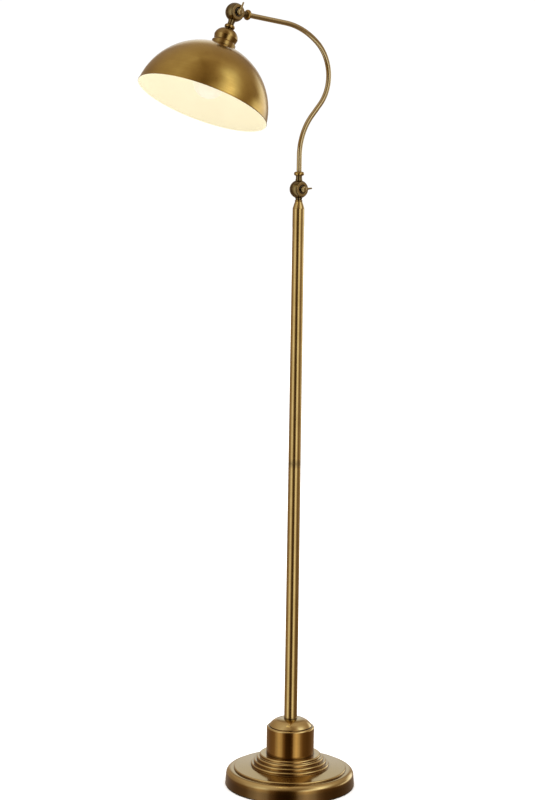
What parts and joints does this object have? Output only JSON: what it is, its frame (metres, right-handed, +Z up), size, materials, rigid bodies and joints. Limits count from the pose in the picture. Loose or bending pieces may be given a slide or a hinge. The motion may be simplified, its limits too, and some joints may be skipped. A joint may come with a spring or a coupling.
{
  "type": "pharmacy floor lamp",
  "caption": "Antique brass floor lamp with stepped round foot, drum collar, S-curved arm on two clamped ball knuckles and a domed metal shade.",
  "frame": {"origin": "centre of the round foot on the floor", "axes": "+Z up the pole; the bent arm lies in the XZ plane and carries the shade towards -X; both knuckles turn about Y with their levers on the -Y side"},
  "size_m": [0.4668, 0.252, 1.494],
  "materials": {
    "antique_brass": "satin antique brass, lacquered",
    "cast_brass": "darkened cast and turned brass",
    "plain_brass": "bare turned brass",
    "zinc_steel": "zinc-plated steel",
    "lamp_cap_metal": "rolled thread",
    "cast_iron": "rough casting, black paint",
    "felt": "pressed felt",
    "black_rubber": "matt",
    "black_bakelite": "moulded",
    "porcelain": "unglazed",
    "fibre": "vulcanised fibre",
    "wire_sheath": "two-core lead inside the tubes",
    "lamp_glass": "frosted, lit warm white"
  },
  "bodies": {
    "stand": {"base_pad": "felt", "base_weight": "cast_iron", "base_shell": "antique_brass", "cord_grommet": "black_rubber", "base_washer": "zinc_steel", "base_lock_nut": "zinc_steel", "base_nipple": "zinc_steel", "collar_drum": "antique_brass", "collar_cap": "antique_brass", "collar_spacer": "zinc_steel", "pole_lower": "antique_brass", "pole_upper": "antique_brass", "pole_inserts": "plain_brass", "pole_coupling_nipple": "zinc_steel", "pole_ferrule": "antique_brass", "ferrule_ring": "antique_brass", "pole_wire": "wire_sheath", "lower_knuckle_pole_half": "cast_brass", "lower_friction_washer": "fibre"},
    "arm": {"lower_knuckle_arm_half": "cast_brass", "lower_lever_washer": "zinc_steel", "arm_lower_collar": "antique_brass", "arm_tube": "antique_brass", "arm_wire": "wire_sheath", "arm_upper_collar": "antique_brass", "upper_knuckle_arm_half": "cast_brass", "upper_friction_washer": "fibre"},
    "head": {"upper_knuckle_shade_half": "cast_brass", "upper_lever_washer": "zinc_steel", "head_collar": "antique_brass", "head_nipple": "zinc_steel", "head_wire": "wire_sheath", "socket_cup": "antique_brass", "holder_cap": "black_bakelite", "holder_sleeve": "black_bakelite", "holder_block": "porcelain", "terminal_screws": "plain_brass", "screw_shell": "plain_brass", "centre_contact": "plain_brass", "shade_ring": "antique_brass", "shade": "antique_brass", "bulb_glass": "lamp_glass", "bulb_screw_cap": "lamp_cap_metal", "bulb_contact": "plain_brass"},
    "lower_lever": {"lower_clamp_lever": "cast_brass", "lower_spring_washer": "zinc_steel"},
    "upper_lever": {"upper_clamp_lever": "cast_brass", "upper_spring_washer": "zinc_steel"}
  },
  "joints": [
    {"name": "arm_tilt", "type": "hinge", "parent": "stand", "child": "arm", "pos_m": [0, 0, 1.1564], "axis": [0, 1, 0], "range_deg": [-60, 30]},
    {"name": "shade_tilt", "type": "hinge", "parent": "arm", "child": "head", "pos_m": [-0.15498, 0, 1.47556], "axis": [0, 1, 0], "range_deg": [-30, 60]},
    {"name": "lower_lever_turn", "type": "hinge", "parent": "stand", "child": "lower_lever", "pos_m": [0, 0, 1.1564], "axis": [0, -1, 0], "range_deg": [0, 180]},
    {"name": "upper_lever_turn", "type": "hinge", "parent": "arm", "child": "upper_lever", "pos_m": [-0.15498, 0, 1.47556], "axis": [0, -1, 0], "range_deg": [0, 180]}
  ]
}
